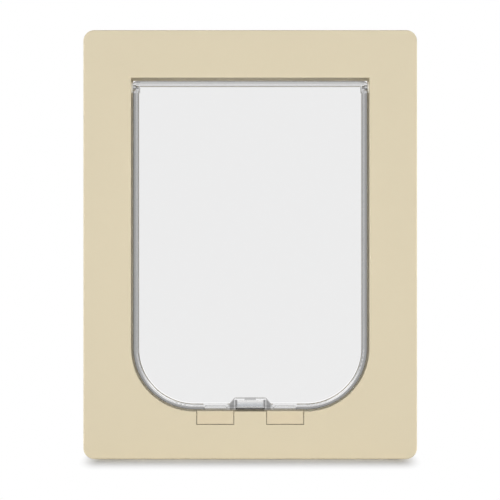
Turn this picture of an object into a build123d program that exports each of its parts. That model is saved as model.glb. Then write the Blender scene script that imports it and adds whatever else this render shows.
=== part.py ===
from build123d import *
import os

# A rigid-flap pet door for a house door leaf. Two matching moulded frames clamp the leaf between them,
# and a clear flap swings both ways in the tunnel that they form. Millimetres. +X is to the right seen
# from the front, +Y runs from the front frame to the rear frame, +Z is up. The origin is on the surface
# that the door stands on, below the middle of the frame.

# Flanges
outer_width = 340.0
outer_height = 437.0
outer_corner_r = 11.0
flange_width = 48.5
flange_depth = 7.0
face_wall = 3.0
lip_wall = 2.5
edge_round = 1.3
mouth_chamfer = 0.4
rib_wall = 1.6
rib_setback = 0.5
side_rib_count = 7

# Tunnel
leaf_thickness = 36.0
tunnel_wall = 2.4
sill_corner_r = 64.5
sleeve_gap = 0.4
sleeve_wall = 2.4
tunnel_end_gap = 0.5

# Fixing screws and their posts
post_inset = 10.4
post_r = 4.2
post_reach = 12.0
head_post_x = 42.2
sill_post_x = 63.8
screw_r = 1.9
screw_bite = 9.0
screw_head_r = 3.9
screw_head_height = 2.0
screw_recess = 2.2
screw_hole_gap = 0.3
thread_gap = 0.06
pad_r = 5.0
pad_height = 2.4
drive_width = 1.0
drive_span = 4.0
drive_depth = 1.1

# Flap
flap_recess = 12.0
flap_side_gap = 1.5
flap_head_gap = 2.5
flap_sill_gap = 1.1
flap_corner_r = 4.0
bead_width = 5.9
bead_thickness = 8.0
bead_round = 2.8
bead_inner_r = 2.3
panel_thickness = 3.0

# Hinge
axis_drop = 8.9
knuckle_r = 5.0
knuckle_length = 6.8
pin_r = 1.5
pin_in_flap = 5.8
pin_in_bush = 9.0
pin_fit = 0.02
pin_running_gap = 0.05
bush_flange_r = 6.0
bush_flange_gap = 0.3
bush_chamfer = 0.5
bush_r = 3.4
bush_fit = 0.02
bush_length = 8.8
housing_wall = 1.8

# Flap magnet and the clear block around it
magnet_width = 26.8
magnet_depth = 5.0
magnet_height = 8.0
magnet_fit = 0.1
magnet_end_gap = 1.2
cover_thickness = 1.3
block_foot = 47.6
block_head = 30.2
block_height = 12.1
block_shoulder = 1.8
block_corner_r = 2.0
block_round = 0.6
notch_width = 11.8
notch_depth = 1.6
notch_height = 2.2

# Sill magnet
strike_width = 28.3
strike_depth = 10.0
strike_height = 3.6
strike_below_sill = 0.15
strike_fit = 0.15
strike_cup_wall = 1.4

# Lock slides, blades and the pockets that the blades rise into
lock_x = 35.6
slide_width = 37.0
slide_drop = 12.75
slide_rise = 0.5
slide_thickness = 2.4
shelf_thickness = 2.0
shelf_gap = 0.5
slide_back_gap = 0.2
slide_gap = 0.35
mouth_gap = 0.75
mouth_height = 4.4
slide_travel = 5.0
slide_chamfer = 0.3
grip_count = 5
grip_pitch = 2.0
grip_width = 0.8
grip_depth = 0.3
grip_length = 30.0
stem_width = 12.0
stem_height = 4.4
stem_margin = 0.6
stem_gap = 0.4
floor_thickness = 2.0
floor_margin = 2.5
blade_width = 20.0
blade_thickness = 3.0
blade_below_sill = 0.3
blade_tail = 1.3
blade_corner = 1.0
blade_gap = 0.3
guide_wall = 1.6
guide_lip = 2.3
guide_length = 10.0
pocket_side_gap = 1.0
pocket_face_gap = 1.0
pocket_head_gap = 0.8
pocket_wall = 1.3
blade_screw_r = 1.2
blade_screw_head_r = 2.2
blade_screw_head_height = 1.3
blade_screw_bite = 6.0
blade_screw_slot = 1.0

# Places that follow from the sizes
front_clamp_y = -leaf_thickness / 2
rear_clamp_y = leaf_thickness / 2
front_face_y = front_clamp_y - flange_depth
rear_face_y = rear_clamp_y + flange_depth
front_wall_y = front_face_y + face_wall
rear_wall_y = rear_face_y - face_wall
tunnel_end_y = rear_wall_y - tunnel_end_gap
half_opening = outer_width / 2 - flange_width
sill_z = flange_width
head_z = outer_height - flange_width
sill_under_z = sill_z - tunnel_wall
flap_y = front_face_y + flap_recess + bead_thickness / 2
axis_z = head_z - axis_drop
half_flap = half_opening - flap_side_gap
flap_foot_z = sill_z + flap_sill_gap
flap_head_z = head_z - flap_head_gap
bush_housing_r = bush_r + bush_fit + housing_wall
sleeve_front_y = flap_y + bush_housing_r + housing_wall
post_end_y = front_clamp_y + post_reach
post_x = half_opening + post_inset
head_post_z = head_z + post_inset
sill_post_z = sill_z - post_inset
mid_post_z = outer_height / 2
seat_y = rear_face_y - screw_recess
screw_tip_y = post_end_y - screw_bite
slide_foot_z = sill_z - slide_drop
slide_head_z = sill_z + slide_rise
slide_back_y = front_face_y + slide_thickness
shelf_back_y = flap_y - bead_thickness / 2 - shelf_gap
recess_back_y = slide_back_y + slide_back_gap
floor_back_y = recess_back_y + floor_thickness
stem_z = slide_foot_z + stem_margin + stem_height / 2
blade_front_y = flap_y - blade_thickness / 2
blade_back_y = flap_y + blade_thickness / 2
blade_head_z = sill_z - blade_below_sill
blade_foot_z = stem_z - stem_height / 2 - blade_tail
guide_foot_z = sill_under_z - guide_length
pocket_head_z = blade_head_z + slide_travel + pocket_head_gap
strike_head_z = sill_z - strike_below_sill
strike_foot_z = strike_head_z - strike_height

head_posts = [-post_x, -head_post_x, head_post_x, post_x]
sill_posts = [-post_x, -sill_post_x, 0, sill_post_x, post_x]
posts = [(x, head_post_z) for x in head_posts] + [(x, sill_post_z) for x in sill_posts]
posts += [(side * post_x, mid_post_z) for side in (-1, 1)]


def slab(outline, front_y, back_y):
    """An outline drawn in X and Z, as a solid between two depths."""
    return extrude(Plane.XZ.offset(-back_y) * outline, back_y - front_y)


def rod(x, z, radius, front_y, back_y):
    """A round bar along the depth."""
    return slab(Pos(x, z) * Circle(radius), front_y, back_y)


def cross_rod(radius, x0, x1):
    """A round bar on the hinge axis, from x0 out to x1."""
    return Pos((x0 + x1) / 2, flap_y, axis_z) * Rot(0, 90, 0) * Cylinder(radius, x1 - x0)


def block(x0, x1, y0, y1, z0, z1):
    """A square-cornered piece between two corners."""
    return Pos((x0 + x1) / 2, (y0 + y1) / 2, (z0 + z1) / 2) * Box(x1 - x0, y1 - y0, z1 - z0)


def flange_outline(inset=0.0):
    """The frame's outer edge, or a line inside it."""
    width = outer_width - 2 * inset
    height = outer_height - 2 * inset
    return Pos(0, outer_height / 2) * RectangleRounded(width, height, outer_corner_r - inset)


def arch_outline(half, foot, head, foot_r, head_r=0.0):
    """Straight sides and head, and two large corners at the foot."""
    outline = Pos(0, (foot + head) / 2) * Rectangle(2 * half, head - foot)
    outline = fillet(outline.vertices().sort_by(Axis.Y)[:2], foot_r)
    if head_r:
        outline = fillet(outline.vertices().sort_by(Axis.Y)[-2:], head_r)
    return outline


def tunnel_outline(grow=0.0):
    """The opening, or a line outside it."""
    return arch_outline(half_opening + grow, sill_z - grow, head_z + grow, sill_corner_r + grow)


def flap_outline(inset=0.0):
    """The flap's edge, or a line inside it."""
    foot_r = sill_corner_r - flap_side_gap - inset
    head_r = max(flap_corner_r - inset, 0.0)
    return arch_outline(half_flap - inset, flap_foot_z + inset, flap_head_z - inset, foot_r, head_r)


def flange(face_y, clamp_y, sleeve_y0, sleeve_y1, sleeve_grow, sleeve_thickness):
    """One frame's face plate and lip, with the wall that lines the hole in the leaf."""
    front = min(face_y, clamp_y)
    back = max(face_y, clamp_y)
    tray = slab(flange_outline(), front, back)
    face = tray.faces().sort_by(Axis.Y)[0 if face_y < clamp_y else -1]
    tray = fillet(face.edges(), edge_round)
    wall_y = face_y + face_wall if face_y < clamp_y else face_y - face_wall
    tray -= slab(flange_outline(lip_wall), min(wall_y, clamp_y), max(wall_y, clamp_y))
    wall = tunnel_outline(sleeve_grow + sleeve_thickness) - tunnel_outline(sleeve_grow)
    tray += slab(wall, sleeve_y0, sleeve_y1)
    tray -= slab(tunnel_outline(), front, back)
    return tray


def stiffeners(wall_y, clamp_y):
    """Ribs between the lip and the tunnel, at the posts and between them."""
    front = min(wall_y, clamp_y)
    back = max(wall_y, clamp_y)
    inner = half_opening + tunnel_wall / 2
    outer = outer_width / 2 - lip_wall / 2
    ribs = Part()
    for x in (0, head_post_x, (head_post_x + post_x) / 2, post_x):
        for side in (-1, 1) if x else (1,):
            at = side * x
            ribs += block(at - rib_wall / 2, at + rib_wall / 2, front, back,
                          head_z + tunnel_wall / 2, outer_height - lip_wall / 2)
    for x in (0, sill_post_x, (sill_post_x + post_x) / 2, post_x):
        for side in (-1, 1) if x else (1,):
            at = side * x
            top = sill_post_z if x in (0, post_x) else sill_z - tunnel_wall / 2
            ribs += block(at - rib_wall / 2, at + rib_wall / 2, front, back, lip_wall / 2, top)
    for i in range(side_rib_count):
        z = sill_post_z + (head_post_z - sill_post_z) * i / (side_rib_count - 1)
        for side in (-1, 1):
            start = inner if sill_z + sill_corner_r < z < head_z else post_x
            x0, x1 = sorted((side * start, side * outer))
            ribs += block(x0, x1, front, back, z - rib_wall / 2, z + rib_wall / 2)
    return ribs


def slide_recess(side):
    """The hollow in the front face that a lock slide runs in, and the notch in the sill for its shelf."""
    x = side * lock_x
    half = slide_width / 2 + slide_gap
    mouth = slide_width / 2 + mouth_gap
    mouth_z = sill_z - mouth_height
    recess = block(x - half, x + half, front_face_y, recess_back_y, slide_foot_z - slide_gap, sill_z)
    recess += block(x - mouth, x + mouth, front_face_y, shelf_back_y + slide_gap, mouth_z, sill_z)
    return recess


def slide_floor(side):
    """The wall behind a lock slide, open at the top and slotted for the slide's stem."""
    x = side * lock_x
    half = slide_width / 2 + floor_margin
    foot = slide_foot_z - floor_margin
    head = sill_z - mouth_height
    floor = block(x - half, x + half, recess_back_y, floor_back_y, foot, head)
    slot = stem_width / 2 + stem_gap
    slot_foot = stem_z - stem_height / 2 - stem_gap
    return floor, block(x - slot, x + slot, recess_back_y, floor_back_y, slot_foot, head)


def blade_guide(side):
    """Two C-shaped rails under the sill, which keep a lock blade upright, and the blade's way."""
    x = side * lock_x
    inner = blade_width / 2 + blade_gap
    outer = inner + guide_wall
    lip = inner - guide_lip
    front = blade_front_y - blade_gap
    back = blade_back_y + blade_gap
    rails = Part()
    for hand in (-1, 1):
        x0, x1 = sorted((x + hand * lip, x + hand * outer))
        rails += block(x0, x1, front - guide_wall, back + guide_wall, guide_foot_z,
                       sill_z - tunnel_wall / 2)
    return rails, block(x - inner, x + inner, front, back, guide_foot_z, sill_z)


def strike_cup():
    """The open-topped pocket in the sill for the sill magnet."""
    half = strike_width / 2 + strike_fit
    deep = strike_depth / 2 + strike_fit
    wall = strike_cup_wall
    cup = block(-half - wall, half + wall, flap_y - deep - wall, flap_y + deep + wall,
                strike_foot_z - wall, sill_under_z)
    return cup, block(-half, half, flap_y - deep, flap_y + deep, strike_foot_z, sill_z)


def front_frame():
    body = flange(front_face_y, front_clamp_y, front_face_y, tunnel_end_y, 0.0, tunnel_wall)
    face = body.faces().sort_by(Axis.Y)[0]
    body = chamfer(face.inner_wires()[0].edges(), mouth_chamfer)
    body += stiffeners(front_wall_y, front_clamp_y - rib_setback)
    for x, z in posts:
        body += rod(x, z, post_r, front_wall_y, post_end_y)
        body -= rod(x, z, screw_r + thread_gap, screw_tip_y - screw_r, post_end_y)
    for side in (-1, 1):
        start = side * (half_opening + tunnel_wall / 2)
        end = side * (half_opening + bush_length)
        body += cross_rod(bush_housing_r, min(start, end), max(start, end))
        inside = side * half_opening
        body -= cross_rod(bush_r + bush_fit, min(inside, end), max(inside, end))
        floor, slot = slide_floor(side)
        rails, blade_slot = blade_guide(side)
        body += floor + rails
        body -= slot
        body -= blade_slot
        body -= slide_recess(side)
    cup, hollow = strike_cup()
    body += cup
    return body - hollow


def rear_frame():
    sleeve = tunnel_wall + sleeve_gap
    body = flange(rear_face_y, rear_clamp_y, sleeve_front_y, rear_wall_y, sleeve, sleeve_wall)
    face = body.faces().sort_by(Axis.Y)[-1]
    body = chamfer(face.inner_wires()[0].edges(), mouth_chamfer)
    body += stiffeners(rear_wall_y, rear_clamp_y + rib_setback)
    inside = tunnel_outline(sleeve)
    body -= slab(inside, rear_clamp_y, rear_wall_y)
    for x, z in posts:
        body += rod(x, z, pad_r, rear_wall_y - pad_height, rear_wall_y)
        body -= rod(x, z, screw_r + screw_hole_gap, rear_clamp_y, rear_face_y)
        body -= rod(x, z, screw_head_r + screw_hole_gap, seat_y, rear_face_y)
    return body


def fixing_screw(x, z):
    """A cheese-headed screw with a cross drive, through the rear frame into a post."""
    top_y = seat_y + screw_head_height
    screw = rod(x, z, screw_r, screw_tip_y, seat_y) + rod(x, z, screw_head_r, seat_y, top_y)
    long = drive_span / 2
    short = drive_width / 2
    screw -= block(x - long, x + long, top_y - drive_depth, top_y, z - short, z + short)
    return screw - block(x - short, x + short, top_y - drive_depth, top_y, z - long, z + long)


def fixing_screws():
    return Compound(children=[fixing_screw(x, z) for x, z in posts])


def lock_pocket(side):
    """A flat-faced box in the flap's rim, hollow and open below, that a blade rises into."""
    x = side * lock_x
    half = blade_width / 2 + pocket_side_gap
    deep = blade_thickness / 2 + pocket_face_gap
    outer = half + pocket_wall
    box = block(x - outer, x + outer, flap_y - bead_thickness / 2, flap_y + bead_thickness / 2,
                flap_foot_z, max(pocket_head_z + pocket_wall, flap_foot_z + bead_width))
    hollow = block(x - half, x + half, flap_y - deep, flap_y + deep, flap_foot_z, pocket_head_z)
    return box, hollow


def magnet_block():
    """The clear trapezoid that holds the flap magnet."""
    foot = block_foot / 2
    head = block_head / 2
    shoulder_z = flap_foot_z + block_shoulder
    top_z = flap_foot_z + block_height
    points = [(-foot, flap_foot_z), (foot, flap_foot_z), (foot, shoulder_z),
              (head, top_z), (-head, top_z), (-foot, shoulder_z)]
    body = slab(make_face(Polyline(*points, close=True)),
                flap_y - bead_thickness / 2, flap_y + bead_thickness / 2)
    corners = body.edges().filter_by(Axis.Y).sort_by(Axis.Z)
    body = fillet(corners[-2:], block_corner_r)
    ends = body.faces().sort_by(Axis.Y)
    rims = ends[0].edges() + ends[-1].edges()
    return fillet(rims.filter_by(lambda edge: edge.center().Z > shoulder_z), block_round)


def flap():
    bead_front = flap_y - bead_thickness / 2
    bead_back = flap_y + bead_thickness / 2
    body = slab(flap_outline(), bead_front, bead_back)
    ends = body.faces().sort_by(Axis.Y)
    body = fillet(ends[0].edges() + ends[-1].edges(), bead_round)
    inside = flap_outline(bead_width)
    for y0, y1 in ((bead_front, flap_y - panel_thickness / 2), (flap_y + panel_thickness / 2, bead_back)):
        body -= slab(inside, y0, y1)
    rims = body.faces().filter_by(Axis.Y).filter_by(lambda face: len(face.inner_wires()) > 0)
    inner = ShapeList()
    for face in rims:
        inner += face.inner_wires()[0].edges()
    body = fillet(inner, bead_inner_r)
    body += magnet_block()
    for side in (-1, 1):
        box, hollow = lock_pocket(side)
        body += box
        body -= hollow
        end = side * half_flap
        start = end - side * knuckle_length
        knuckle = cross_rod(knuckle_r, min(start, end), max(start, end))
        inner_end = knuckle.faces().sort_by(Axis.X)[-1 if side < 0 else 0]
        body += fillet(inner_end.edges(), block_round)
        bottom = end - side * pin_in_flap
        body -= cross_rod(pin_r + pin_fit, min(bottom, end), max(bottom, end))
    half = magnet_width / 2 + magnet_end_gap
    deep = magnet_depth / 2 + magnet_fit
    magnet_top = flap_foot_z + cover_thickness + magnet_height + magnet_fit
    body -= block(-half, half, flap_y - deep, flap_y + deep, flap_foot_z, magnet_top)
    notch_top = flap_foot_z + block_height
    body -= block(-notch_width / 2, notch_width / 2, bead_front, bead_front + notch_depth,
                  notch_top - notch_height, notch_top)
    return body


def flap_magnet():
    foot = flap_foot_z + cover_thickness
    bar = block(-magnet_width / 2, magnet_width / 2, flap_y - magnet_depth / 2,
                flap_y + magnet_depth / 2, foot, foot + magnet_height)
    return chamfer(bar.edges().filter_by(Axis.Z), magnet_fit * 3)


def magnet_cover():
    half = magnet_width / 2 + magnet_end_gap
    deep = magnet_depth / 2 + magnet_fit
    return block(-half, half, flap_y - deep, flap_y + deep, flap_foot_z, flap_foot_z + cover_thickness)


def sill_magnet():
    bar = block(-strike_width / 2, strike_width / 2, flap_y - strike_depth / 2,
                flap_y + strike_depth / 2, strike_foot_z, strike_head_z)
    return chamfer(bar.edges().filter_by(Axis.Z), strike_fit * 2)


def hinge_pin(side):
    inner = side * (half_flap - pin_in_flap)
    outer = side * (half_opening + pin_in_bush - flap_side_gap)
    pin = cross_rod(pin_r, min(inner, outer), max(inner, outer))
    tip = pin.faces().sort_by(Axis.X)[-1 if side > 0 else 0]
    return chamfer(tip.edges(), pin_r / 4)


def hinge_bush(side):
    wall = side * half_opening
    cap = side * (half_flap + bush_flange_gap)
    end = side * (half_opening + bush_length)
    collar = cross_rod(bush_flange_r, min(wall, cap), max(wall, cap))
    face = collar.faces().sort_by(Axis.X)[0 if side > 0 else -1]
    collar = chamfer(face.edges(), bush_chamfer)
    bush = collar + cross_rod(bush_r, min(wall, end), max(wall, end))
    return bush - cross_rod(pin_r + pin_running_gap, min(cap, end), max(cap, end))


def lock_slide(side):
    """The grip plate in the face, the shelf on it that fills the notch in the sill, and the stem."""
    x = side * lock_x
    half = slide_width / 2
    plate = block(x - half, x + half, front_face_y, slide_back_y, slide_foot_z, slide_head_z)
    plate += block(x - half, x + half, slide_back_y, shelf_back_y, slide_head_z - shelf_thickness,
                   slide_head_z)
    plate = chamfer(plate.faces().sort_by(Axis.Y)[0].edges(), slide_chamfer)
    middle_z = (slide_foot_z + sill_z) / 2
    for i in range(grip_count):
        z = middle_z + (i - (grip_count - 1) / 2) * grip_pitch
        plate -= block(x - grip_length / 2, x + grip_length / 2, front_face_y,
                       front_face_y + grip_depth, z - grip_width / 2, z + grip_width / 2)
    stem = block(x - stem_width / 2, x + stem_width / 2, slide_back_y, blade_front_y,
                 stem_z - stem_height / 2, stem_z + stem_height / 2)
    stem = fillet(stem.edges().filter_by(Axis.Y), block_round)
    return plate + stem - rod(x, stem_z, blade_screw_r + thread_gap,
                              blade_front_y - blade_screw_bite, blade_front_y)


def lock_blade(side):
    x = side * lock_x
    half = blade_width / 2
    blade = block(x - half, x + half, blade_front_y, blade_back_y, blade_foot_z, blade_head_z)
    blade = chamfer(blade.edges().filter_by(Axis.Y), blade_corner)
    return blade - rod(x, stem_z, blade_screw_r + thread_gap, blade_front_y, blade_back_y)


def blade_screw(side):
    x = side * lock_x
    shank = rod(x, stem_z, blade_screw_r, blade_front_y - blade_screw_bite + thread_gap, blade_back_y)
    head_y = blade_back_y + blade_screw_head_height
    head = rod(x, stem_z, blade_screw_head_r, blade_back_y, head_y)
    slot = blade_screw_slot / 2
    return shank + head - block(x - blade_screw_head_r, x + blade_screw_head_r, head_y - slot, head_y,
                                stem_z - slot, stem_z + slot)


pieces = {
    "front_frame": front_frame(),
    "rear_frame": rear_frame(),
    "fixing_screws": fixing_screws(),
    "flap": flap(),
    "flap_magnet": flap_magnet(),
    "magnet_cover": magnet_cover(),
    "sill_magnet": sill_magnet(),
}
for side, hand in ((-1, "left"), (1, "right")):
    pieces["hinge_pin_" + hand] = hinge_pin(side)
    pieces["hinge_bush_" + hand] = hinge_bush(side)
    pieces["lock_slide_" + hand] = lock_slide(side)
    pieces["lock_blade_" + hand] = lock_blade(side)
    pieces["blade_screw_" + hand] = blade_screw(side)

os.makedirs("parts", exist_ok=True)
for name, piece in pieces.items():
    export_step(piece, "parts/" + name + ".step")
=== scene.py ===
import bpy
import math
import numpy as np
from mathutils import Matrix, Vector


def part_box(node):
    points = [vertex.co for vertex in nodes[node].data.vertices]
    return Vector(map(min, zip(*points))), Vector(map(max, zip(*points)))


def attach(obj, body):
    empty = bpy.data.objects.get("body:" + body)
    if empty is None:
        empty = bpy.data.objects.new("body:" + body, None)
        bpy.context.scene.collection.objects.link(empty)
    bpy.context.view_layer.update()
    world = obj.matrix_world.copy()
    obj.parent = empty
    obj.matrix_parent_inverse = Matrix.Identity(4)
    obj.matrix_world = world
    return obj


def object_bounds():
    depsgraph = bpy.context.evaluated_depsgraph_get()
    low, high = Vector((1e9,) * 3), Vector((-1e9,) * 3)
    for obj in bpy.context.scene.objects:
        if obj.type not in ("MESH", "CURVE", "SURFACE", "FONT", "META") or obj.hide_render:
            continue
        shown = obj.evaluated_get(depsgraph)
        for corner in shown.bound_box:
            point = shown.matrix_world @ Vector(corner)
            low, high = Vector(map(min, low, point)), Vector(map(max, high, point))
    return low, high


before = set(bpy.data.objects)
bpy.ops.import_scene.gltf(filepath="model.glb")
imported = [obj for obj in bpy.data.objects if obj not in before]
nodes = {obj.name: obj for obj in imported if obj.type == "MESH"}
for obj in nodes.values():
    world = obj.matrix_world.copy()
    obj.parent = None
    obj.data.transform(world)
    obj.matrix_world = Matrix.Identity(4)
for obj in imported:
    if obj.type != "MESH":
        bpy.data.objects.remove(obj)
cad_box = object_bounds()

# The two frames. Each is one injection moulding in cream plastic with a fine satin grain, and eleven screws
# clamp the pair on the door leaf. The front frame's face has a faint sink mark over each screw's blind post,
# where the thicker plastic shrank, and it is in shade in the joints round the lock slides.
frame_cream = (0.7157, 0.6330, 0.4580, 1.0)
frame_gloss = 0.5
frame_tint = 0.015
tint_per_metre = 6.0
grain_per_metre = 900.0
grain_height = 0.00003
grain_matt = 0.12
plastic_ior = 1.46
weld_reach = 0.000002
sharp_angle = 30
flat_weight = 90
tip_reach = 0.00001
post_reach = 0.02
sink_radius = 0.0062
sink_depth = 0.00005
joint_width = 0.0007
joint_edge = 0.0002
joint_depth = 0.0008
joint_shade = 0.12


def shader_group(name, inputs, outputs):
    """A node group with the named inputs and outputs, and its two end nodes."""
    group = bpy.data.node_groups.new(name, "ShaderNodeTree")
    for label, kind, value in inputs:
        group.interface.new_socket(label, in_out="INPUT", socket_type=kind).default_value = value
    for label, kind in outputs:
        group.interface.new_socket(label, in_out="OUTPUT", socket_type=kind)
    return group, group.nodes.new("NodeGroupInput"), group.nodes.new("NodeGroupOutput")


def placed(tree, group):
    """A node that puts a group into a material."""
    node = tree.nodes.new("ShaderNodeGroup")
    node.node_tree = group
    return node


def feed(tree, value, socket):
    """Sets a socket to a number or colour, or links another node's output to it."""
    if isinstance(value, bpy.types.NodeSocket):
        tree.links.new(value, socket)
    else:
        socket.default_value = value


def math_node(tree, operation, *values):
    """The output of a Math node whose inputs are numbers or other outputs."""
    node = tree.nodes.new("ShaderNodeMath")
    node.operation = operation
    for socket, value in zip(node.inputs, values):
        feed(tree, value, socket)
    return node.outputs[0]


def scaled(tree, colour, factor):
    """A colour times a number."""
    node = tree.nodes.new("ShaderNodeVectorMath")
    node.operation = "SCALE"
    feed(tree, colour, node.inputs[0])
    feed(tree, factor, node.inputs["Scale"])
    return node.outputs[0]


def piece_noise(tree, scale):
    """A noise from 0 to 1 on the piece's own coordinates."""
    noise = tree.nodes.new("ShaderNodeTexNoise")
    tree.links.new(tree.nodes.new("ShaderNodeTexCoord").outputs["Object"], noise.inputs["Vector"])
    feed(tree, scale, noise.inputs["Scale"])
    return noise.outputs["Fac"]


def piece_axes(tree):
    """The piece's own x, y and z, as three outputs."""
    parts = tree.nodes.new("ShaderNodeSeparateXYZ")
    tree.links.new(tree.nodes.new("ShaderNodeTexCoord").outputs["Object"], parts.inputs[0])
    return list(parts.outputs)


def moulded_satin():
    """Satin plastic. A slow noise s from 0 to 1 scales the colour by 1 + Tint (2s - 1), and a fine noise g
    gives the grain: roughness is Gloss + Matt g, and g is also the height."""
    group, given, made = shader_group(
        "moulded satin",
        [("Color", "NodeSocketColor", frame_cream), ("Tint", "NodeSocketFloat", frame_tint),
         ("Grain", "NodeSocketFloat", grain_per_metre), ("Gloss", "NodeSocketFloat", frame_gloss),
         ("Matt", "NodeSocketFloat", grain_matt)],
        [("Color", "NodeSocketColor"), ("Roughness", "NodeSocketFloat"), ("Height", "NodeSocketFloat")])
    slow = piece_noise(group, tint_per_metre)
    grain = piece_noise(group, given.outputs["Grain"])
    swing = math_node(group, "MULTIPLY_ADD", slow, 2.0, -1.0)
    level = math_node(group, "MULTIPLY_ADD", swing, given.outputs["Tint"], 1.0)
    group.links.new(scaled(group, given.outputs["Color"], level), made.inputs["Color"])
    rough = math_node(group, "MULTIPLY_ADD", grain, given.outputs["Matt"], given.outputs["Gloss"])
    group.links.new(rough, made.inputs["Roughness"])
    group.links.new(grain, made.inputs["Height"])
    return group


def bare_material(name):
    """A material with one Principled shader, its tree, that shader and the socket it feeds."""
    material = bpy.data.materials.new(name)
    material.use_nodes = True
    tree = material.node_tree
    tree.nodes.clear()
    shader = tree.nodes.new("ShaderNodeBsdfPrincipled")
    surface = tree.nodes.new("ShaderNodeOutputMaterial").inputs["Surface"]
    tree.links.new(shader.outputs[0], surface)
    return material, tree, shader, surface


def satin_plastic(name, colour, gloss=frame_gloss, tint=frame_tint):
    """A satin plastic, its tree, its shader and the Bump node that its height goes to."""
    material, tree, shader = bare_material(name)[:3]
    satin = placed(tree, satin_effect)
    satin.inputs["Color"].default_value = colour
    satin.inputs["Tint"].default_value = tint
    satin.inputs["Gloss"].default_value = gloss
    bump = tree.nodes.new("ShaderNodeBump")
    bump.inputs["Distance"].default_value = grain_height
    tree.links.new(satin.outputs["Color"], shader.inputs["Base Color"])
    tree.links.new(satin.outputs["Roughness"], shader.inputs["Roughness"])
    tree.links.new(satin.outputs["Height"], bump.inputs["Height"])
    tree.links.new(bump.outputs["Normal"], shader.inputs["Normal"])
    shader.inputs["IOR"].default_value = plastic_ior
    return material, tree, shader, bump


def dress(name, material):
    """Gives a node its material, joins its loose triangles and keeps its sharp edges sharp."""
    piece = nodes[name]
    piece.data.materials.clear()
    piece.data.materials.append(material)
    piece.data.polygons.foreach_set("use_smooth", np.ones(len(piece.data.polygons), dtype=bool))
    weld = piece.modifiers.new("weld", "WELD")
    weld.merge_threshold = weld_reach
    sharp = piece.modifiers.new("sharp edges", "EDGE_SPLIT")
    sharp.split_angle = math.radians(sharp_angle)
    flats = piece.modifiers.new("flat faces", "WEIGHTED_NORMAL")
    flats.keep_sharp = True
    flats.weight = flat_weight


def smooth_range(tree, value, low, high, from_value, to_value):
    """A smooth step from one value to another while the input goes from low to high."""
    step = tree.nodes.new("ShaderNodeMapRange")
    step.interpolation_type = "SMOOTHSTEP"
    tree.links.new(value, step.inputs["Value"])
    labels = ("From Min", "From Max", "To Min", "To Max")
    for label, limit in zip(labels, (low, high, from_value, to_value)):
        feed(tree, limit, step.inputs[label])
    return step.outputs[0]


def joint_lines():
    """A mask of the shade in the joint round each lock slide. At a distance d = max(||x| - middle| - half
    width, foot - z) outside the slide's outline it is 1 from d = 0 to the joint's width, on the face only."""
    low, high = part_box("lock_slide_right")
    group, given, made = shader_group("joint lines", [("Width", "NodeSocketFloat", joint_width)],
                                      [("Mask", "NodeSocketFloat")])
    x, y, z = piece_axes(group)
    from_middle = math_node(group, "SUBTRACT", math_node(group, "ABSOLUTE", x), (low.x + high.x) / 2)
    beside = math_node(group, "SUBTRACT", math_node(group, "ABSOLUTE", from_middle), (high.x - low.x) / 2)
    outside = math_node(group, "MAXIMUM", beside, math_node(group, "SUBTRACT", low.z, z))
    past = math_node(group, "SUBTRACT", outside, given.outputs["Width"])
    mask = math_node(group, "MULTIPLY", smooth_range(group, outside, -joint_edge, 0.0, 0.0, 1.0),
                     smooth_range(group, past, 0.0, joint_edge, 1.0, 0.0))
    on_face = math_node(group, "MULTIPLY", math_node(group, "LESS_THAN", z, high.z),
                        math_node(group, "LESS_THAN", y, low.y + joint_depth))
    group.links.new(math_node(group, "MULTIPLY", mask, on_face), made.inputs["Mask"])
    return group


def screw_places():
    """The axes of the fixing screws in x and z: the middles of the clusters of points at their tips."""
    mesh = nodes["fixing_screws"].data
    points = np.empty(len(mesh.vertices) * 3)
    mesh.vertices.foreach_get("co", points)
    points = points.reshape(-1, 3)
    tips = points[points[:, 1] < points[:, 1].min() + tip_reach][:, [0, 2]]
    cluster = np.unique(np.round(tips / post_reach), axis=0, return_inverse=True)[1].ravel()
    return [tips[cluster == i].mean(axis=0).tolist() for i in range(cluster.max() + 1)]


def sink_marks(places):
    """A mask that rises smoothly from 0 to 1 inside a circle of the radius round each post's axis."""
    group, given, made = shader_group("sink marks", [("Radius", "NodeSocketFloat", sink_radius)],
                                      [("Mask", "NodeSocketFloat")])
    flat = group.nodes.new("ShaderNodeVectorMath")
    flat.operation = "MULTIPLY"
    flat.inputs[1].default_value = (1.0, 0.0, 1.0)
    group.links.new(group.nodes.new("ShaderNodeTexCoord").outputs["Object"], flat.inputs[0])
    total = 0.0
    for x, z in places:
        away = group.nodes.new("ShaderNodeVectorMath")
        away.operation = "DISTANCE"
        away.inputs[1].default_value = (x, 0.0, z)
        group.links.new(flat.outputs[0], away.inputs[0])
        near = smooth_range(group, away.outputs["Value"], 0.0, given.outputs["Radius"], 1.0, 0.0)
        total = math_node(group, "ADD", near, total)
    group.links.new(total, made.inputs["Mask"])
    return group


satin_effect = moulded_satin()
screw_axes = screw_places()
front_plastic, tree, shader, bump = satin_plastic("front frame plastic", frame_cream)
marks = placed(tree, sink_marks(screw_axes))
dimple = tree.nodes.new("ShaderNodeBump")
dimple.invert = True
dimple.inputs["Distance"].default_value = sink_depth
tree.links.new(marks.outputs["Mask"], dimple.inputs["Height"])
tree.links.new(dimple.outputs["Normal"], bump.inputs["Normal"])
joints = placed(tree, joint_lines())
light_left = math_node(tree, "MULTIPLY_ADD", joints.outputs["Mask"], joint_shade - 1.0, 1.0)
colour = shader.inputs["Base Color"]
tree.links.new(scaled(tree, colour.links[0].from_socket, light_left), colour)
dress("front_frame", front_plastic)
dress("rear_frame", satin_plastic("rear frame plastic", frame_cream)[0])

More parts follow.
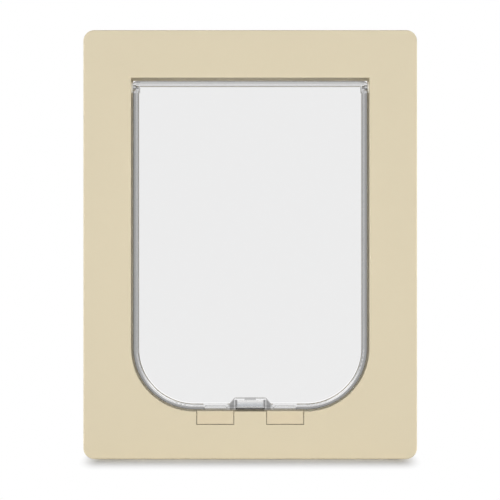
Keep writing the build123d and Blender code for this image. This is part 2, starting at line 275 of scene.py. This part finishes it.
# The lock slides and their blades, moulded from a slightly yellower batch of the same plastic. A slide lies
# flush in its hollow in the face with its shelf in the sill, and a screw holds its blade to it from behind.
slide_cream = (0.7240, 0.6300, 0.4520, 1.0)
slide_gloss = 0.46
slide_plastic = satin_plastic("lock slide plastic", slide_cream, gloss=slide_gloss)[0]
blade_plastic = satin_plastic("lock blade plastic", slide_cream)[0]
for hand in ("left", "right"):
    dress("lock_slide_" + hand, slide_plastic)
    dress("lock_blade_" + hand, blade_plastic)

# The flap. One clear moulding, with a thin panel, a thick half-round bead at its rim and the block for the
# magnet at its foot. It hangs on two clear rods, which are pushed into its top corners.
clear_tone = (0.834, 0.834, 0.836, 1.0)
clear_rod = (0.94, 0.94, 0.94, 1.0)
clear_ior = 1.49
clear_shadow = (0.8, 0.8, 0.8, 1.0)
flap_haze = 0.04
rod_haze = 0.08
haze_per_metre = 40.0
flap_low, flap_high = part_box("flap")
foot_corner = 0.063
rim_depth = 0.008
# The tones below are painted light and shade for the light that the clear plastic bends: over the bead,
# across the block with a dark line round it, and on the pockets, gate, knuckles and rods.
painted_rim_tones = ((0.0, 0.27), (0.15, 0.37), (0.325, 0.43), (0.44, 0.73), (0.495, 0.80), (0.55, 0.43),
             (0.625, 0.43), (0.675, 0.88), (0.73, 0.98), (0.80, 1.0))
# A painted glint, lightening the bead in its bends at the foot.
painted_bend_glint = ((0.0, 0.95), (0.34, 1.15), (0.55, 1.6), (0.77, 3.7), (0.87, 3.2), (0.94, 1.8), (1.0, 1.6))
glint_depth = (0.0031, 0.0068)
block_half = 0.0215
block_top = (0.0151, 0.0617)
block_slant = 0.845
block_foot = 0.0546
block_line = (0.0606, 0.0615)
line_width = 0.001
line_tone = 0.56
painted_block_tones = ((0.0, 1.12), (0.632, 1.12), (0.645, 0.42), (0.716, 0.42), (0.735, 0.64), (0.758, 0.64),
               (0.786, 0.34), (0.945, 0.34), (1.0, 0.70))
block_head = 0.0595
pocket_reach = (0.0246, 0.0466)
pocket_head = 0.0552
pocket_tone = 0.95
gate_half = 0.0058
gate_rise = (0.0593, 0.0617)
gate_tone = 0.55
knuckle_reach = 0.1128
knuckle_rise = (0.3735, 0.3787)
knuckle_tone = 0.66
rod_rise = (0.3787, 0.3835)
rod_tone = 0.90
head_bead = 0.3799
# Painted light on the head bead.
painted_head_light = 1.55
inner_slope = 1.0
crest_depth = 0.0033
soft_edge = 0.0004


def under(tree, value, high):
    """A mask that is 1 under a limit and falls smoothly to 0 over a short way round it."""
    return smooth_range(tree, value, high - soft_edge, high + soft_edge, 1.0, 0.0)


def over(tree, value, low):
    """A mask that is 0 under a limit and rises smoothly to 1 over a short way round it."""
    return smooth_range(tree, value, low - soft_edge, low + soft_edge, 0.0, 1.0)


def inside(tree, value, low, high):
    """A mask that is 1 between two limits and 0 outside them."""
    return math_node(tree, "MULTIPLY", over(tree, value, low), under(tree, value, high))


def colours_along(tree, value, stops):
    """Colours that change evenly from one stop to the next while the value goes from 0 to 1."""
    ramp = tree.nodes.new("ShaderNodeValToRGB")
    elements = ramp.color_ramp.elements
    for stop, (at, colour) in zip([elements[0], elements[1]], (stops[0], stops[-1])):
        stop.position, stop.color = at, colour
    for at, colour in stops[1:-1]:
        elements.new(at).color = colour
    tree.links.new(value, ramp.inputs[0])
    return ramp.outputs[0]


def tones_along(tree, value, tones):
    """Grey tones that change evenly from one stop to the next while the value goes from 0 to 1."""
    return colours_along(tree, value, [(at, (tone, tone, tone, 1.0)) for at, tone in tones])


def chosen(tree, mask, off, on):
    """off where the mask is 0, on where it is 1, and a mixture between."""
    change = math_node(tree, "SUBTRACT", on, off)
    return math_node(tree, "MULTIPLY_ADD", mask, change, off)


def painted_clear_light():
    """Painted light and shade on the clear moulding, for the light that its bead and block bend. Its depth
    inside the outline is R - length(max(|x| - w + R, 0), max(foot + R - z, 0)), or head - z if that is less.
    Painted tones follow it over the bead, with a painted glint in its bends at the foot and painted light at
    the head.
    The hollow pockets, the gate, and the knuckles and rods at the top corners have one painted tone each. The
    block for the magnet has painted tones of its own along |x|, and a painted dark line along its top and
    slanted sides. Slope is how far a face lies below the crest of the bead, from the crest inwards."""
    group, given, made = shader_group(
        "painted clear light",
        [("Half Width", "NodeSocketFloat", flap_high.x), ("Corner", "NodeSocketFloat", foot_corner),
         ("Foot", "NodeSocketFloat", flap_low.z), ("Head", "NodeSocketFloat", flap_high.z)],
        [("Shade", "NodeSocketFloat"), ("Slope", "NodeSocketFloat")])
    x, y, height = piece_axes(group)
    beside = math_node(group, "ABSOLUTE", x)
    corner = given.outputs["Corner"]
    straight = math_node(group, "SUBTRACT", given.outputs["Half Width"], corner)
    out = math_node(group, "MAXIMUM", math_node(group, "SUBTRACT", beside, straight), 0.0)
    bend = math_node(group, "ADD", given.outputs["Foot"], corner)
    down = math_node(group, "MAXIMUM", math_node(group, "SUBTRACT", bend, height), 0.0)
    reach = math_node(group, "SQRT", math_node(group, "ADD", math_node(group, "MULTIPLY", out, out),
                                               math_node(group, "MULTIPLY", down, down)))
    depth = math_node(group, "MINIMUM", math_node(group, "SUBTRACT", corner, reach),
                      math_node(group, "SUBTRACT", given.outputs["Head"], height))
    shade = tones_along(group, math_node(group, "DIVIDE", depth, rim_depth), painted_rim_tones)
    glint = tones_along(group, math_node(group, "DIVIDE", down, reach), painted_bend_glint)
    glint = chosen(group, inside(group, depth, *glint_depth), 1.0, glint)
    shade = math_node(group, "MULTIPLY", shade, glint)
    pocket = math_node(group, "MULTIPLY", under(group, height, pocket_head),
                       inside(group, beside, *pocket_reach))
    shade = chosen(group, pocket, shade, pocket_tone)
    rise = math_node(group, "SUBTRACT", height, block_top[1])
    slanted = math_node(group, "MULTIPLY_ADD", rise, block_slant, beside)
    block = math_node(group, "MULTIPLY", under(group, height, block_head),
                      under(group, slanted, block_top[0]))
    tones = tones_along(group, math_node(group, "DIVIDE", beside, block_half), painted_block_tones)
    shade = chosen(group, block, shade, tones)
    gate = math_node(group, "MULTIPLY", inside(group, height, *gate_rise), under(group, beside, gate_half))
    shade = chosen(group, gate, shade, gate_tone)
    for limits, tone in ((knuckle_rise, knuckle_tone), (rod_rise, rod_tone)):
        hinge = math_node(group, "MULTIPLY", inside(group, height, *limits),
                          over(group, beside, knuckle_reach))
        shade = chosen(group, hinge, shade, tone)
    top_line = math_node(group, "MULTIPLY", inside(group, height, *block_line),
                         under(group, beside, block_top[0]))
    side_line = math_node(group, "MULTIPLY", inside(group, slanted, block_top[0], block_top[0] + line_width),
                          inside(group, height, block_foot, block_line[1]))
    shade = chosen(group, math_node(group, "MAXIMUM", top_line, side_line), shade, line_tone)
    upper = math_node(group, "MULTIPLY", over(group, height, head_bead), under(group, beside, knuckle_reach))
    shade = math_node(group, "MULTIPLY", shade, chosen(group, upper, 1.0, painted_head_light))
    group.links.new(shade, made.inputs["Shade"])
    middle_y = (flap_low.y + flap_high.y) / 2
    from_middle = math_node(group, "ABSOLUTE", math_node(group, "SUBTRACT", y, middle_y))
    fall = math_node(group, "SUBTRACT", flap_high.y - middle_y, from_middle)
    slope = math_node(group, "MULTIPLY", fall, over(group, depth, crest_depth))
    group.links.new(slope, made.inputs["Slope"])
    return group


def clear_plastic(name, haze, colour):
    """Clear moulded plastic, which lets the lamps' light through. Its roughness is haze times a noise."""
    material, tree, shader, surface = bare_material(name)
    rough = math_node(tree, "MULTIPLY", piece_noise(tree, haze_per_metre), haze)
    tree.links.new(rough, shader.inputs["Roughness"])
    shader.inputs["Base Color"].default_value = colour
    shader.inputs["IOR"].default_value = clear_ior
    shader.inputs["Transmission Weight"].default_value = 1.0
    through = tree.nodes.new("ShaderNodeBsdfTransparent")
    through.inputs["Color"].default_value = clear_shadow
    choose = tree.nodes.new("ShaderNodeMixShader")
    tree.links.new(tree.nodes.new("ShaderNodeLightPath").outputs["Is Shadow Ray"], choose.inputs["Fac"])
    tree.links.new(shader.outputs[0], choose.inputs[1])
    tree.links.new(through.outputs[0], choose.inputs[2])
    tree.links.new(choose.outputs[0], surface)
    return material, tree, shader


flap_plastic, tree, shader = clear_plastic("clear flap plastic", flap_haze, clear_tone)
# The base colour takes the painted light and shade of the moulding.
painted_light = placed(tree, painted_clear_light())
tree.links.new(scaled(tree, clear_tone[:3], painted_light.outputs["Shade"]), shader.inputs["Base Color"])
gentler = tree.nodes.new("ShaderNodeBump")
gentler.inputs["Distance"].default_value = inner_slope
side = tree.nodes.new("ShaderNodeNewGeometry").outputs["Backfacing"]
side = math_node(tree, "MULTIPLY_ADD", side, -2.0, 1.0)
tree.links.new(math_node(tree, "MULTIPLY", painted_light.outputs["Slope"], side), gentler.inputs["Height"])
tree.links.new(gentler.outputs["Normal"], shader.inputs["Normal"])
dress("flap", flap_plastic)
pin_plastic = clear_plastic("clear rod plastic", rod_haze, clear_rod)[0]

# The magnetic catch. A bright plated bar in the clear block, shut in from below by a dark strip, pulls on a
# dark ferrite bar that is let into the sill. The bar's colour carries a painted reflection: it is darker
# towards the bar's foot and bluish a third of the way up.
magnet_low, magnet_high = (corner.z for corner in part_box("flap_magnet"))
painted_plating_reflection = ((0.0, (0.385, 0.375, 0.35, 1.0)), (0.35, (0.54, 0.565, 0.59, 1.0)),
                 (1.0, (0.94, 0.93, 0.91, 1.0)))
bar_roughness = (0.04, 0.06)
metal_grain_per_metre = 1500.0
strip_black = (0.03, 0.026, 0.02, 1.0)
ferrite_black = (0.09, 0.078, 0.06, 1.0)
ferrite_gloss = 0.85
ferrite_tint = 0.08


def metal(name, colour, roughness, spread):
    """Metal with a fine noise of the given spread in its roughness, and its tree and shader."""
    material, tree, shader = bare_material(name)[:3]
    grain = piece_noise(tree, metal_grain_per_metre)
    rough = math_node(tree, "MULTIPLY_ADD", grain, spread, roughness)
    tree.links.new(rough, shader.inputs["Roughness"])
    shader.inputs["Base Color"].default_value = colour
    shader.inputs["Metallic"].default_value = 1.0
    return material, tree, shader


def upright_shade(low, high):
    """A mask from 0 at the height Low to 1 at the height High."""
    group, given, made = shader_group(
        "upright shade", [("Low", "NodeSocketFloat", low), ("High", "NodeSocketFloat", high)],
        [("Mask", "NodeSocketFloat")])
    rise = group.nodes.new("ShaderNodeMapRange")
    group.links.new(piece_axes(group)[2], rise.inputs["Value"])
    group.links.new(given.outputs["Low"], rise.inputs["From Min"])
    group.links.new(given.outputs["High"], rise.inputs["From Max"])
    group.links.new(rise.outputs[0], made.inputs["Mask"])
    return group


plating, tree, shader = metal("plated magnet bar", painted_plating_reflection[-1][1], *bar_roughness)
rise = placed(tree, upright_shade(magnet_low, magnet_high)).outputs["Mask"]
# The painted reflection of the plating, darker towards the bar's foot.
tree.links.new(colours_along(tree, rise, painted_plating_reflection), shader.inputs["Base Color"])
dress("flap_magnet", plating)
dress("magnet_cover", satin_plastic("dark strip plastic", strip_black)[0])
dress("sill_magnet", satin_plastic("dark ferrite", ferrite_black, ferrite_gloss, ferrite_tint)[0])

# The hinge bushes, moulded in natural nylon and pushed into the front frame, and the rods that turn in them.
# The fixing screws and the small screws that hold the lock blades are zinc plated steel.
nylon_cream = (0.84, 0.80, 0.70, 1.0)
nylon_gloss = 0.45
steel_grey = (0.58, 0.59, 0.60, 1.0)
steel_roughness = (0.25, 0.15)
plated_steel = metal("zinc plated steel", steel_grey, *steel_roughness)[0]
nylon = satin_plastic("natural nylon", nylon_cream, gloss=nylon_gloss)[0]
dress("fixing_screws", plated_steel)
for hand in ("left", "right"):
    dress("hinge_pin_" + hand, pin_plastic)
    dress("hinge_bush_" + hand, nylon)
    dress("blade_screw_" + hand, plated_steel)

# The threads of the fixing screws, which cut their own way into the plastic of the posts. Each is a sharp
# ridge wound round its shank, from the tip to a plain neck below the head.
thread_root = 0.00185
thread_crest = 0.00245
thread_pitch = 0.0016
thread_half = 0.35 * thread_pitch
thread_start = 0.0006
thread_neck = 0.012
least_rise = 0.02
steps_per_turn = 20


def thread_ridge(axis_x, axis_z, tip_y, end_y):
    """A ridge of three-cornered section on a helix. At angle a its crest is at y = tip + pitch a / 2 pi,
    with a root corner half a section before it and one behind. The crest's radius grows from near the root's
    over the first turn and shrinks back over the last."""
    turns = (end_y - tip_y) / thread_pitch
    angle = np.linspace(0.0, math.tau * turns, int(turns * steps_per_turn) + 1)
    along = tip_y + thread_pitch * angle / math.tau
    rise = np.clip(np.minimum(angle, angle[-1] - angle) / math.tau, least_rise, 1.0)
    crest = thread_root + (thread_crest - thread_root) * rise
    radius = np.stack([np.full_like(angle, thread_root), crest, np.full_like(angle, thread_root)], axis=1)
    offset = np.array([-thread_half, 0.0, thread_half])
    points = np.stack([axis_x + radius * np.cos(angle)[:, None],
                       along[:, None] + offset,
                       axis_z - radius * np.sin(angle)[:, None]], axis=-1).reshape(-1, 3)
    start = np.arange(len(angle) - 1)[:, None] * 3
    sides = [np.stack([start + a, start + b, start + b + 3, start + a + 3], axis=-1).reshape(-1, 4)
             for a, b in ((0, 1), (1, 2), (2, 0))]
    last = 3 * (len(angle) - 1)
    caps = [[0, 2, 1], [last, last + 1, last + 2]]
    return points, np.concatenate(sides), caps


tip_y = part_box("fixing_screws")[0].y
points, faces = [], []
for axis_x, axis_z in screw_axes:
    shape, sides, caps = thread_ridge(axis_x, axis_z, tip_y + thread_start, thread_neck)
    base = sum(len(part) for part in points)
    points.append(shape)
    faces += (sides + base).tolist() + [[base + corner for corner in cap] for cap in caps]
mesh = bpy.data.meshes.new("screw_threads")
mesh.from_pydata(np.concatenate(points).tolist(), [], faces)
mesh.materials.append(plated_steel)
threads = bpy.data.objects.new("screw_threads", mesh)
bpy.context.scene.collection.objects.link(threads)
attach(threads, "frame")

# Where it stands: a white table that ends in white nothing. Beside the object it shows only as the soft
# shadow at the object's foot, which fades over little more than the width of a hand.
table_half = 4.0
table_drop = 0.0001
table_shade = 0.85
table_roughness = 0.9
shadow_reach = 0.133
shadow_half_width = 0.150
shadow_end_steepness = 5.5
screen_grey = 0.92
white_screen = (8.0, 11.0)
grey_screen = (33.0, 38.0)
rear_dimness = 0.9


def ray_is(tree, *kinds):
    """1 for a ray of one of these kinds, otherwise 0."""
    path = tree.nodes.new("ShaderNodeLightPath")
    total = path.outputs[kinds[0]]
    for kind in kinds[1:]:
        total = math_node(tree, "MAXIMUM", total, path.outputs[kind])
    return total


def studio_white(tree, direction):
    """White in any direction for the camera. Other rays see a white screen ahead and one behind, a pale grey
    ring round each and white beyond it. Mirrored rays find the side behind the door nearly dark."""
    parts = tree.nodes.new("ShaderNodeSeparateXYZ")
    tree.links.new(direction, parts.inputs[0])
    along = math_node(tree, "ABSOLUTE", parts.outputs["Y"])
    inner, outer = (math.cos(math.radians(edge)) for edge in white_screen)
    middle_screen = smooth_range(tree, along, outer, inner, screen_grey, 1.0)
    inner, outer = (math.cos(math.radians(edge)) for edge in grey_screen)
    beyond = smooth_range(tree, along, outer, inner, 1.0, screen_grey)
    screens = math_node(tree, "MAXIMUM", middle_screen, beyond)
    mirrored = math_node(tree, "GREATER_THAN", ray_is(tree, "Is Glossy Ray"),
                         ray_is(tree, "Is Transmission Ray"))
    behind = math_node(tree, "GREATER_THAN", parts.outputs["Y"], 0.0)
    dimmed = math_node(tree, "MULTIPLY", behind, mirrored)
    screens = math_node(tree, "MULTIPLY", screens,
                        math_node(tree, "MULTIPLY_ADD", dimmed, -rear_dimness, 1.0))
    return math_node(tree, "MAXIMUM", screens, ray_is(tree, "Is Camera Ray"))


table_top, tree, shader, surface = bare_material("white table")
shader.inputs["Base Color"].default_value = (table_shade, table_shade, table_shade, 1.0)
shader.inputs["Roughness"].default_value = table_roughness
shader.inputs["Specular IOR Level"].default_value = 0.0
x, y = piece_axes(tree)[:2]
squares = []
for side, reach, steepness in ((x, shadow_half_width, shadow_end_steepness), (y, cad_box[1][1], 1.0)):
    outside = math_node(tree, "SUBTRACT", math_node(tree, "ABSOLUTE", side), reach)
    outside = math_node(tree, "MULTIPLY", math_node(tree, "MAXIMUM", outside, 0.0), steepness)
    squares.append(math_node(tree, "MULTIPLY", outside, outside))
away = math_node(tree, "SQRT", math_node(tree, "ADD", *squares))
bearing = tree.nodes.new("ShaderNodeVectorMath")
bearing.operation = "NORMALIZE"
tree.links.new(tree.nodes.new("ShaderNodeTexCoord").outputs["Object"], bearing.inputs[0])
glow = tree.nodes.new("ShaderNodeEmission")
tree.links.new(studio_white(tree, bearing.outputs[0]), glow.inputs["Strength"])
white_share = smooth_range(tree, away, 0.0, shadow_reach, 0.0, 1.0)
seeing = ray_is(tree, "Is Camera Ray", "Is Transmission Ray")
fade = tree.nodes.new("ShaderNodeMixShader")
tree.links.new(math_node(tree, "MULTIPLY", white_share, seeing), fade.inputs["Fac"])
tree.links.new(shader.outputs[0], fade.inputs[1])
tree.links.new(glow.outputs[0], fade.inputs[2])
tree.links.new(fade.outputs[0], surface)
mesh = bpy.data.meshes.new("table")
corners = [(x * table_half, y * table_half, -table_drop) for x, y in ((-1, -1), (1, -1), (1, 1), (-1, 1))]
mesh.from_pydata(corners, [], [(0, 1, 2, 3)])
mesh.materials.append(table_top)
table = bpy.data.objects.new("table", mesh)
bpy.context.scene.collection.objects.link(table)
table.visible_glossy = False

# The light. The room is white to the camera, shows its screens to gloss and clear plastic, and gives the
# rest a weak even fill. Four soft boxes light the front, the back and the two edges square on, and one hangs
# overhead. Gloss and clear plastic don't show the soft boxes.
room_white = (1.0, 1.0, 1.0, 1.0)
room_fill = 0.12
lamp_aim = (0.0, 0.0, 0.22)
lamps = (("front_soft_box", (0.0, -2.3, 0.17), 0.32, 0.28, 36.6),
         ("rear_soft_box", (0.0, 2.3, 0.20), 0.32, 0.36, 34.0),
         ("left_soft_box", (-2.3, 0.0, 0.25), 0.2, 0.4, 28.0),
         ("right_soft_box", (2.3, 0.0, 0.25), 0.2, 0.4, 28.0),
         ("overhead_soft_box", (0.0, 0.3, 2.0), 0.8, 0.4, 8.0))
world = bpy.data.worlds.new("studio")
world.use_nodes = True
bpy.context.scene.world = world
tree = world.node_tree
tree.nodes.clear()
fill = tree.nodes.new("ShaderNodeBackground")
fill.inputs["Color"].default_value = room_white
fill.inputs["Strength"].default_value = room_fill
seen = tree.nodes.new("ShaderNodeBackground")
seen.inputs["Color"].default_value = room_white
direction = tree.nodes.new("ShaderNodeTexCoord").outputs["Generated"]
tree.links.new(studio_white(tree, direction), seen.inputs["Strength"])
mix = tree.nodes.new("ShaderNodeMixShader")
tree.links.new(ray_is(tree, "Is Camera Ray", "Is Transmission Ray", "Is Glossy Ray"), mix.inputs["Fac"])
tree.links.new(fill.outputs[0], mix.inputs[1])
tree.links.new(seen.outputs[0], mix.inputs[2])
tree.links.new(mix.outputs[0], tree.nodes.new("ShaderNodeOutputWorld").inputs["Surface"])
for name, place, width, height, watts in lamps:
    data = bpy.data.lights.new(name, "AREA")
    data.shape = "RECTANGLE"
    data.size = width
    data.size_y = height
    data.energy = watts
    box = bpy.data.objects.new(name, data)
    box.location = place
    box.rotation_euler = (Vector(lamp_aim) - Vector(place)).to_track_quat("-Z", "Y").to_euler()
    box.visible_camera = False
    box.visible_transmission = False
    box.visible_glossy = False
    bpy.context.scene.collection.objects.link(box)

# The camera stands level and square to the front, 2.5 m from it. A pixel is 1.02 mm wide at the face of the
# frame, and the middle of the object lies a little above the middle of the picture.
picture_pixels = 500
metres_per_pixel = 0.0010186
camera_distance = 2.5
sensor_width = 36.0
object_middle = (250.2, 244.55)
front_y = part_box("front_frame")[0].y
middle_z = (cad_box[0][2] + cad_box[1][2]) / 2
camera_data = bpy.data.cameras.new("camera")
camera_data.sensor_width = sensor_width
camera_data.lens = sensor_width * camera_distance / (picture_pixels * metres_per_pixel)
camera = bpy.data.objects.new("camera", camera_data)
camera.location = (metres_per_pixel * (picture_pixels / 2 - object_middle[0]), front_y - camera_distance,
                   middle_z - metres_per_pixel * (picture_pixels / 2 - object_middle[1]))
camera.rotation_euler = (math.radians(90), 0, 0)
bpy.context.scene.collection.objects.link(camera)
bpy.context.scene.camera = camera

bpy.context.scene.view_settings.view_transform = "Standard"
